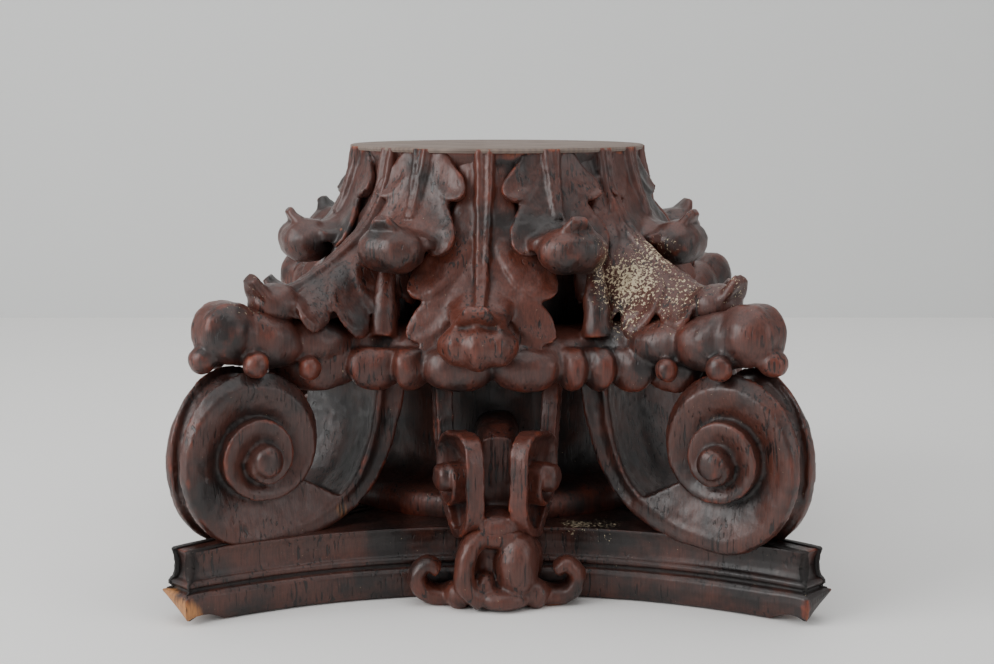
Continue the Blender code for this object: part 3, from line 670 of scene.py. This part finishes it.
forms = Carving()
for quarter_turn in range(4):
    azimuth = 90.0 * quarter_turn
    out = outward(azimuth)
    side_way = aside(azimuth)
    for x, r, z, *size in FLOWER_LOBES:
        knob(forms, r * out + x * side_way + z * UPWARD, azimuth, (size[1], size[0], size[2]))
    path = [r * out + x * side_way + z * UPWARD for x, r, z in FLOWER_PETAL]
    branch(forms, smooth_curve(path, 30), np.full(30, 0.0085), 1.3, out)
    for side in (-1, 1):
        path = [r * out + side * x * side_way + z * UPWARD for x, r, z in FLOWER_CURL]
        branch(forms, smooth_curve(path, 30), np.linspace(0.0095, 0.0065, 30), 1.5, out)
piece = carve(forms, "flowers", 0.0014, 0.55, bottom=0.0005)
dress(piece, waxed_wood("stained waxed wood, small carving", "#1d1412", "#552a1e", 0.7, 0.85, 0.42))
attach(piece, "root")
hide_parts("capital")

# Small scrolls
# A pair of scrolls back to back in the middle of each side, undercut deeply round their eyes, so
# that each winds round a dark hollow. They meet over the flower.
HELIX_RADII = (0.0500, 0.0480, 0.0395, 0.0455, 0.0365, 0.0385, 0.0345, 0.0300, 0.0240, 0.0190, 0.0160,
               0.0135, 0.0120)
HELIX_OFFSET = 0.0363
HELIX_RADIAL = 0.187
HELIX_HEIGHT = 0.102
HELIX_FACE_ANGLE = 70.0
HELIX_STEM = ((-0.062, 0.085), (-0.052, 0.050), (-0.044, 0.010), (-0.038, -0.018))
HELIX_STEM_WIDTH = 0.015
HELIX_RIM = 0.0075
HELIX_RISE = 0.006
HELIX_THICKNESS = 0.0145
HELIX_FLOOR = 0.0125
HELIX_EYE = 0.0120


class Scroll:
    """A flat spiral scroll with its stem, drawn in a plane and given its depth behind it.

    The spiral's outer radius is given at equal steps from the bottom outwards. The stem comes down
    to the bottom on the inner side, its outer edge given as (outward, upward) points. A depth of
    None means the middle plane of the block that the scroll is cut in.
    """

    TURN_STEPS = 96
    STEM_STEPS = 40

    def __init__(self, forms, centre, ahead, face, radii, per_turn, stem, widths, back, lean):
        self.forms = forms
        self.centre = centre
        self.ahead = ahead
        self.face = face
        self.stem_width, self.rim, self.rise = widths
        self.back = back
        self.lean = lean
        turns = (len(radii) - 1) / per_turn
        self.turn = np.linspace(0.0, turns, round(self.TURN_STEPS * turns) + 1)
        self.radius = self.soften(radii)
        angle = 2 * math.pi * self.turn - math.pi / 2
        self.ray = np.column_stack([np.cos(angle), np.sin(angle)])
        spiral = self.ray * self.radius[:, None]
        path = smooth_curve(np.vstack([stem, spiral[0:1]]), self.STEM_STEPS)[:-1]
        self.line = np.vstack([path, spiral])
        run = np.gradient(self.line, axis=0)
        run /= np.linalg.norm(run, axis=1)[:, None]
        self.inward = np.column_stack([-run[:, 1], run[:, 0]])
        self.on_stem = np.concatenate([np.linspace(1.0, 0.0, len(path)), np.zeros(len(spiral))])

    def soften(self, values):
        """Spreads values given along the spiral over its steps, without corners."""
        steps = np.linspace(0.0, self.turn[-1], len(values))
        curve = smooth_curve(np.column_stack([steps, values]), 600)
        return np.interp(self.turn, curve[:, 0], curve[:, 1])

    def point(self, place, depth):
        p, q = place
        if depth is None:
            depth = -(self.back - p * self.lean)
        return self.centre + p * self.ahead + q * UPWARD + depth * self.face

    def cut_stem(self, depth, reach):
        """The channelled band of the stem and the thick part behind it, into the spiral's start."""
        band = []
        core = []
        for k in range(self.STEM_STEPS + reach):
            fade = self.on_stem[k]
            wide = self.rim + (self.stem_width - self.rim) * fade
            dip = 0.0010 + 0.0040 * fade
            section = ((0.0, -depth), (0.0, -0.001), (0.05, 0.0), (0.20, 0.0), (0.28, -0.5 * dip), (0.5, -dip),
                       (0.72, -0.5 * dip), (0.80, 0.0), (0.95, 0.0), (1.0, -0.001), (1.0, -depth))
            band.append([self.point(self.line[k] + self.inward[k] * wide * u, v) for u, v in section])
            core.append([
                self.point(self.line[k] + self.inward[k] * u, d)
                for u, d in ((0.003, None), (0.003, -0.003), (wide - 0.001, -0.003), (wide - 0.001, None))
            ])
        self.forms.skin(band)
        self.forms.skin(core)

    def cut_whorls(self, flare, depth, floor, bowl):
        """The spiral: its flared edge, the face sinking inwards, and the foot of the next turn."""
        last = len(self.radius) - 1
        flare = self.soften(flare)
        angle = np.degrees(np.arctan2(self.line[:, 1], self.line[:, 0]))
        stations = []
        for k in range(self.STEM_STEPS - 1):
            if -150.0 < angle[k] < -90.0:
                back = int(round((angle[k] + 90.0) / 360.0 * self.TURN_STEPS))
                reach = float(np.linalg.norm(self.line[k]))
                stations.append((self.line[k] / reach, reach, self.radius[self.TURN_STEPS + back], flare[0], 0.0))
        for k in range(last + 1):
            inner = self.radius[k + self.TURN_STEPS] if k + self.TURN_STEPS <= last else 0.006
            stations.append((self.ray[k], self.radius[k], inner, flare[k], (k / last) ** 1.3))
        rings = []
        for ray, reach, inner, extra, height in stations:
            top = self.rise * height
            edge = reach + extra
            inner -= 0.005
            face = reach - 0.003
            profile = [(edge - 0.007, None), (edge - 0.007, -depth), (edge - 0.001, -depth), (edge, 0.001 - depth),
                       (edge - 0.0006, 0.0022 - depth), (reach + 0.0004, top - 0.0012), (reach - 0.0008, top)]
            for f in np.linspace(0.0, 1.0, 14):
                profile.append((face + (inner - face) * f, top - floor * f**bowl))
            profile.append((inner, None))
            rings.append([self.point(ray * r, d) for r, d in profile])
        self.forms.skin(rings)

    def cut_eye(self, radius, high):
        """The boss that the spiral ends in."""
        c, s = oval(36)
        rings = []
        for r, d in ((1.0, -0.4 * self.back), (1.0, self.rise), (0.97, self.rise + high * 0.35),
                     (0.88, self.rise + high * 0.7), (0.6, self.rise + high), (0.2, self.rise + high * 1.1)):
            rings.append([self.point((radius * r * u, radius * r * v), d) for u, v in zip(c, s)])
        self.forms.skin(rings)


forms = Carving()
for quarter_turn in range(4):
    azimuth = 90.0 * quarter_turn
    out = outward(azimuth)
    side_way = aside(azimuth)
    angle = math.radians(HELIX_FACE_ANGLE)
    for side in (-1, 1):
        face = side * math.sin(angle) * side_way + math.cos(angle) * out
        ahead = -side * math.cos(angle) * side_way + math.sin(angle) * out
        centre = HELIX_RADIAL * out + side * HELIX_OFFSET * side_way + HELIX_HEIGHT * UPWARD
        scroll = Scroll(forms, centre, ahead, face, HELIX_RADII, 8, HELIX_STEM,
                        (HELIX_STEM_WIDTH, HELIX_RIM, HELIX_RISE), HELIX_THICKNESS, 0.0)
        scroll.cut_stem(HELIX_THICKNESS, 24)
        scroll.cut_whorls((0.0, 0.0), HELIX_THICKNESS, HELIX_FLOOR, 0.4)
        scroll.cut_eye(HELIX_EYE, 0.008)
    web = []
    c, s = oval(24, 0.6)
    for r, half, tall in ((0.100, 0.020, 0.040), (0.160, 0.020, 0.038), (0.180, 0.016, 0.030)):
        web.append(r * out + HELIX_HEIGHT * UPWARD + np.outer(c * half, side_way) + np.outer(s * tall, UPWARD))
    forms.skin(web)
    knob(forms, 0.197 * out + 0.066 * UPWARD, azimuth, (0.024, 0.022, 0.013))
piece = carve(forms, "small_scrolls", 0.0016, 0.50)
dress(piece, waxed_wood("stained waxed wood, undercut scrolls", "#1c1311", "#55291e", 0.65, 0.85, 0.42))
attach(piece, "root")
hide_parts("capital")

# Volutes
# The big scroll under each corner of the abacus: two broad flat whorls that splay apart towards
# the bell, a dark groove between their rims. The rims are bevelled and shine where hands rub.
VOLUTE_RADII = (0.0750, 0.0625, 0.0590, 0.0450, 0.0334, 0.0335, 0.0320, 0.0235, 0.0185, 0.0140)
VOLUTE_FLARE = (0.003, 0.003, 0.0105, 0.006, 0.0, 0.0, 0.0, 0.0, 0.0, 0.0)
VOLUTE_RADIAL = 0.281
VOLUTE_HEIGHT = 0.1222
VOLUTE_SPLAY = 11.5
VOLUTE_HALF_THICKNESS = 0.027
VOLUTE_STEM = ((-0.134, 0.067), (-0.126, 0.025), (-0.113, -0.013), (-0.090, -0.045), (-0.050, -0.0665))
VOLUTE_STEM_WIDTH = 0.028
VOLUTE_RIM = 0.0105
VOLUTE_RISE = 0.014
VOLUTE_EYE = 0.0125
VOLUTE_TURN = -1.5
forms = Carving()
for quarter_turn in range(4):
    azimuth = 90.0 * quarter_turn + 45.0 + VOLUTE_TURN
    out = outward(azimuth)
    side_way = aside(azimuth)
    splay = math.radians(VOLUTE_SPLAY)
    middle = VOLUTE_HALF_THICKNESS / math.cos(splay) - 0.001
    for side in (-1, 1):
        ahead = math.cos(splay) * out - side * math.sin(splay) * side_way
        face = math.sin(splay) * out + side * math.cos(splay) * side_way
        centre = VOLUTE_RADIAL * out + side * VOLUTE_HALF_THICKNESS * side_way + VOLUTE_HEIGHT * UPWARD
        scroll = Scroll(forms, centre, ahead, face, VOLUTE_RADII, 4, VOLUTE_STEM,
                        (VOLUTE_STEM_WIDTH, VOLUTE_RIM, VOLUTE_RISE), middle, math.tan(splay))
        scroll.cut_stem(0.009, 18)
        scroll.cut_whorls(VOLUTE_FLARE, 0.009, 0.012, 1.5)
        scroll.cut_eye(VOLUTE_EYE, 0.007)
piece = carve(forms, "volutes", 0.0020, 0.52, uneven=0.0008, bottom=0.045)
dress(piece, waxed_wood("stained waxed wood, broad scrolls", "#1b1312", "#4c271d", 0.55, 0.75, 0.40))
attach(piece, "root")
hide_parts("capital")

# Calyx
# The leafy cup that the scrolls grow from: a scalloped hem all round, stalks that rise between the
# leaves, and a rolled leaf over each volute, its flanks cut into rounded lobes.
CALYX_TURN = -2.2
CALYX_ROLL = (
    (0.150, 0.204, 0.050, 0.022),
    (0.200, 0.206, 0.043, 0.022),
    (0.245, 0.210, 0.036, 0.023),
    (0.280, 0.216, 0.030, 0.025),
    (0.306, 0.220, 0.012, 0.016),
)
CALYX_PARTINGS = (0.130, 0.195, 0.240, 0.278, 0.320)
CALYX_KNOBS = ((0.283, 0.029, 0.1965, 0.0105), (0.238, 0.038, 0.1905, 0.0095))
HEM_RADIUS = (
    (-45.0, 0.236),
    (-36.5, 0.210),
    (-28.7, 0.186),
    (-19.5, 0.178),
    (-7.6, 0.170),
    (9.6, 0.170),
    (22.2, 0.177),
    (28.0, 0.184),
    (34.0, 0.196),
    (45.0, 0.236),
)
HEM_PARTINGS = (-45.0, -33.5, -24.0, -17.0, 1.0, 18.5, 25.0, 31.0, 38.0, 45.0)
HEM_HEIGHT = 0.186
STALK = (
    (34.0, 0.150, 0.292, 0.0055),
    (32.0, 0.161, 0.262, 0.0070),
    (30.5, 0.171, 0.236, 0.0105),
    (30.0, 0.176, 0.210, 0.0130),
)


def scallop(place, partings):
    """How far a lobe swells at a place, from 0 where two lobes part to 1 in a lobe's middle."""
    k = int(np.clip(np.searchsorted(partings, place) - 1, 0, len(partings) - 2))
    t = 2.0 * (place - partings[k]) / (partings[k + 1] - partings[k]) - 1.0
    return math.sqrt(max(1.0 - t * t, 0.0))


forms = Carving()
for quarter_turn in range(4):
    azimuth = 90.0 * quarter_turn + 45.0 + CALYX_TURN
    out = outward(azimuth)
    side_way = aside(azimuth)
    c, s = oval(48, 0.85)
    rings = []
    for r, z, half, tall in smooth_curve(CALYX_ROLL, 120):
        swell = scallop(r, CALYX_PARTINGS)
        rings.append(r * out + z * UPWARD + np.outer(c * half * (0.80 + 0.20 * swell), side_way)
                     + np.outer(s * tall * (0.86 + 0.14 * swell), UPWARD))
    forms.skin(rings)
    knob(forms, 0.2915 * out + 0.2205 * UPWARD, azimuth, (0.0275, 0.0265, 0.0270), 2, 0.10)
    knob(forms, 0.3130 * out + 0.2010 * UPWARD, azimuth, (0.0115, 0.0125, 0.0110))
    for side in (-1, 1):
        for r, off, z, size in CALYX_KNOBS:
            knob(forms, r * out + side * off * side_way + z * UPWARD, azimuth, (size, size, size))
        front = 90.0 * quarter_turn + CALYX_TURN
        path = [r * outward(front + side * a) + z * UPWARD for a, r, z, size in STALK]
        sizes = smooth_curve([(size, 0.0, k) for k, (a, r, z, size) in enumerate(STALK)], 30)[:, 0]
        branch(forms, smooth_curve(path, 30), sizes, 1.0, outward(front))
places, radii = zip(*HEM_RADIUS)
c, s = oval(32)
rings = []
for quarter_turn in range(4):
    for place in np.linspace(-45.0, 45.0, 220, endpoint=False):
        swell = scallop(place, HEM_PARTINGS) ** 1.2
        reach = np.interp(place, places, radii) - 0.006 + 0.010 * swell
        out = outward(CALYX_TURN + 90.0 * quarter_turn + place)
        middle = reach * out + (HEM_HEIGHT + 0.004 - 0.004 * swell) * UPWARD
        rings.append(middle + np.outer(c * (0.011 + 0.004 * swell), out)
                     + np.outer(s * (0.011 + 0.007 * swell), UPWARD))
forms.skin(rings, ring_shut=True)
rings = []
for a in np.linspace(0.0, 360.0, 180, endpoint=False):
    middle = 0.146 * outward(a) + 0.198 * UPWARD
    rings.append(middle + np.outer(c * 0.032, outward(a)) + np.outer(s * 0.020, UPWARD))
forms.skin(rings, ring_shut=True)
piece = carve(forms, "calyx", 0.0020, 0.50)
dress(piece, waxed_wood("stained waxed wood, calyx carving", "#1c1312", "#52281d", 0.6, 0.8, 0.42))
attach(piece, "root")
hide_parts("capital")

# Corner leaves
# The leaf that sweeps out over each volute: rows of fingers hang off its doubled midrib, and its
# tip hooks up and over at the corner.
CORNER_TURN = -0.5
CORNER_SPINE = (
    (0.1220, 0.366),
    (0.1320, 0.325),
    (0.1520, 0.294),
    (0.1800, 0.273),
    (0.2100, 0.258),
    (0.2350, 0.250),
    (0.2560, 0.253),
    (0.2700, 0.266),
)


class Leaf:
    """Places points by their distance across, along and above a leaf's curved face."""

    def __init__(self, forms, azimuth, spine, cup=0.0):
        self.forms = forms
        self.azimuth = azimuth
        self.cup = cup
        self.curve = smooth_curve(spine, 160)
        steps = np.linalg.norm(np.diff(self.curve, axis=0), axis=1)
        self.distance = np.concatenate([[0.0], np.cumsum(steps)])
        self.length = self.distance[-1]
        self.slope = np.gradient(self.curve, axis=0)
        self.slope /= np.linalg.norm(self.slope, axis=1)[:, None]
        self.normal = np.column_stack([-self.slope[:, 1], self.slope[:, 0]])

    def place(self, across, along, above):
        across, along, above = np.broadcast_arrays(across, along, above)
        r = np.interp(along, self.distance, self.curve[:, 0])
        z = np.interp(along, self.distance, self.curve[:, 1])
        nr = np.interp(along, self.distance, self.normal[:, 0])
        nz = np.interp(along, self.distance, self.normal[:, 1])
        beyond = along - np.clip(along, 0.0, self.length)
        r = r + beyond * self.slope[-1, 0]
        z = z + beyond * self.slope[-1, 1]
        h = above - self.cup * across**2 * np.clip(2.0 * along / self.length, 0.0, 1.0) ** 2
        angle = np.radians(self.azimuth) + across / np.maximum(r, 0.1)
        reach = r + h * nr
        return np.stack([reach * np.sin(angle), -reach * np.cos(angle), z + h * nz], axis=-1)

    def blade(self, widths, thickness):
        """The sheet that carries the fingers: half widths and thicknesses from neck to tip."""
        f = np.linspace(0.0, 1.0, 60)
        half = np.interp(f, np.linspace(0, 1, len(widths)), widths)
        deep = np.interp(f, np.linspace(0, 1, len(thickness)), thickness)
        c, s = oval(48, 0.6)
        rings = []
        for k in range(len(f)):
            rings.append(self.place(c * half[k], f[k] * self.length, s * deep[k] / 2 - deep[k] / 2))
        self.forms.skin(rings)

    def finger(self, side, root, tip, width, lift, thick=0.011, hollow=0.004):
        """One rounded finger from its root on the midrib to its tip, both as (across, along)."""
        f = np.linspace(0.0, 1.0, 34)
        root = np.array(root)
        tip = np.array(tip)
        turn = np.array([root[0] + 0.12 * (tip[0] - root[0]), root[1] + 0.68 * (tip[1] - root[1])])
        line = np.outer((1 - f) ** 2, root) + np.outer(2 * f * (1 - f), turn) + np.outer(f**2, tip)
        run = np.gradient(line, axis=0)
        run /= np.linalg.norm(run, axis=1)[:, None]
        cross = np.column_stack([run[:, 1], -run[:, 0]])
        swell = 0.45 + 0.55 * np.sin(np.clip(f / 0.7, 0, 1) * math.pi / 2)
        round_end = np.sqrt(np.clip(1.0 - (np.clip(f - 0.76, 0, 1) / 0.245) ** 2, 0.02, 1.0))
        half = width * swell * round_end
        c, s = oval(36, 0.7)
        rings = []
        for k in range(len(f)):
            top = lift * f[k] ** 1.2 - 0.003
            bowl = hollow * (1 - c**2) * min(1.0, 1.6 * f[k]) * round_end[k]
            above = top + s * thick / 2 - np.where(s > 0, bowl, 0.0)
            rings.append(self.place(side * (line[k, 0] + c * half[k] * cross[k, 0]),
                                    line[k, 1] + c * half[k] * cross[k, 1], above))
        self.forms.skin(rings)

    def rib(self, start, end, width=0.0032, high=0.0055):
        """The midrib: two raised cords side by side."""
        c, s = oval(16)
        for side in (-1, 1):
            rings = []
            for k in np.linspace(0.0, 1.0, 60):
                size = width * (1.25 - 0.6 * k)
                along = start + k * (end - start)
                top = high * (1.0 - 0.8 * k**4)
                rings.append(self.place(side * size * 1.05 + c * size, along, 0.4 * high + s * top))
            self.forms.skin(rings)


forms = Carving()
for quarter_turn in range(4):
    azimuth = 90.0 * quarter_turn + 45.0 + CORNER_TURN
    leaf = Leaf(forms, azimuth, CORNER_SPINE, cup=22.0)
    leaf.blade((0.026, 0.032, 0.036, 0.037, 0.035, 0.031, 0.026, 0.020, 0.007),
               (0.010, 0.016, 0.020, 0.024, 0.026, 0.024, 0.020, 0.014, 0.008))
    leaf.rib(0.0, 0.180, 0.0034, 0.0060)
    for side in (-1, 1):
        leaf.finger(side, (0.008, 0.030), (0.050, 0.106), 0.013, 0.008)
        leaf.finger(side, (0.008, 0.060), (0.050, 0.132), 0.013, 0.008)
        leaf.finger(side, (0.008, 0.090), (0.046, 0.158), 0.013, 0.007)
        leaf.finger(side, (0.007, 0.124), (0.034, 0.182), 0.011, 0.004)
    knob(forms, 0.250 * outward(azimuth) + 0.240 * UPWARD, azimuth, (0.021, 0.022, 0.017))
piece = carve(forms, "corner_leaves", 0.0017, 0.55, top=0.3612)
dress(piece, waxed_wood("stained waxed wood, corner leaves", "#1c1312", "#52281d", 0.6, 0.8, 0.42))
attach(piece, "root")
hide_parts("capital")

# Middle leaves
# The long leaf in the middle of each side, its midrib two cords with a groove between, and its
# tip a ball cut in three bulges.
LEAF_TURN = -4.5
MIDDLE_SPINE = (
    (0.1220, 0.366),
    (0.1280, 0.330),
    (0.1370, 0.295),
    (0.1510, 0.262),
    (0.1700, 0.241),
    (0.1880, 0.233),
    (0.2010, 0.236),
    (0.2080, 0.243),
)
MIDDLE_FLANK = (
    (0.1210, 0.366),
    (0.1270, 0.330),
    (0.1360, 0.295),
    (0.1480, 0.262),
    (0.1600, 0.230),
    (0.1660, 0.195),
)
forms = Carving()
for quarter_turn in range(4):
    azimuth = 90.0 * quarter_turn + LEAF_TURN
    leaf = Leaf(forms, azimuth, MIDDLE_SPINE, cup=6.0)
    leaf.blade((0.026, 0.028, 0.030, 0.030, 0.030, 0.030, 0.029, 0.022, 0.010),
               (0.010, 0.014, 0.018, 0.018, 0.014, 0.010, 0.010, 0.010, 0.008))
    leaf.rib(0.0, 0.150, 0.0034, 0.0065)
    flank = Leaf(forms, azimuth, MIDDLE_FLANK)
    flank.blade((0.026, 0.030, 0.036, 0.040, 0.042, 0.044, 0.040, 0.030),
                (0.012, 0.016, 0.020, 0.022, 0.024, 0.026, 0.024, 0.016))
    for side in (-1, 1):
        flank.finger(side, (0.009, 0.020), (0.057, 0.130), 0.016, 0.012, hollow=0.003)
        flank.finger(side, (0.009, 0.062), (0.056, 0.164), 0.014, 0.014)
        flank.finger(side, (0.010, 0.090), (0.046, 0.182), 0.012, 0.016)
    knob(forms, 0.193 * outward(azimuth) + 0.2085 * UPWARD, azimuth, (0.023, 0.0325, 0.0205), 3, 0.15)
piece = carve(forms, "middle_leaves", 0.0017, 0.54, top=0.3612)
dress(piece, waxed_wood("stained waxed wood, long leaves", "#1d1412", "#5a2b1e", 0.7, 0.9, 0.42))
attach(piece, "root")
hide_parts("capital")

# Upper leaves
# Two short leaves a side in the row next to the neck, each with a spoon-shaped tip that wraps
# over a heavy ball, and rounded fingers down each side.
UPPER_LEAF_OFFSET = 24.5
UPPER_SPINE = (
    (0.1245, 0.366),
    (0.1290, 0.345),
    (0.1370, 0.322),
    (0.1470, 0.306),
    (0.1610, 0.298),
    (0.1770, 0.300),
    (0.1890, 0.311),
)
UPPER_FLANK = (
    (0.1240, 0.366),
    (0.1290, 0.340),
    (0.1380, 0.315),
    (0.1490, 0.292),
    (0.1560, 0.270),
)
forms = Carving()
for quarter_turn in range(4):
    for half in (-1, 1):
        azimuth = 90.0 * quarter_turn + LEAF_TURN + half * UPPER_LEAF_OFFSET
        leaf = Leaf(forms, azimuth, UPPER_SPINE, cup=10.0)
        leaf.blade((0.036, 0.032, 0.029, 0.029, 0.031, 0.032, 0.027, 0.017, 0.006),
                   (0.012, 0.016, 0.018, 0.016, 0.012, 0.010, 0.010, 0.010, 0.007))
        leaf.rib(0.0, 0.068)
        flank = Leaf(forms, azimuth, UPPER_FLANK)
        for side in (-1, 1):
            flank.finger(side, (0.008, -0.012), (0.041, 0.046), 0.012, 0.007)
            flank.finger(side, (0.006, 0.000), (0.038, 0.094), 0.015, 0.009)
            leaf.finger(side, (0.004, 0.026), (0.030, 0.090), 0.010, 0.001)
        knob(forms, 0.1765 * outward(azimuth) + 0.2815 * UPWARD, azimuth, (0.0235, 0.0295, 0.0205), 2, 0.08)
piece = carve(forms, "upper_leaves", 0.0017, 0.56, top=0.3612)
dress(piece, waxed_wood("stained waxed wood, short leaves", "#1d1412", "#52281d", 0.6, 0.85, 0.42))
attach(piece, "root")
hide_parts("capital")
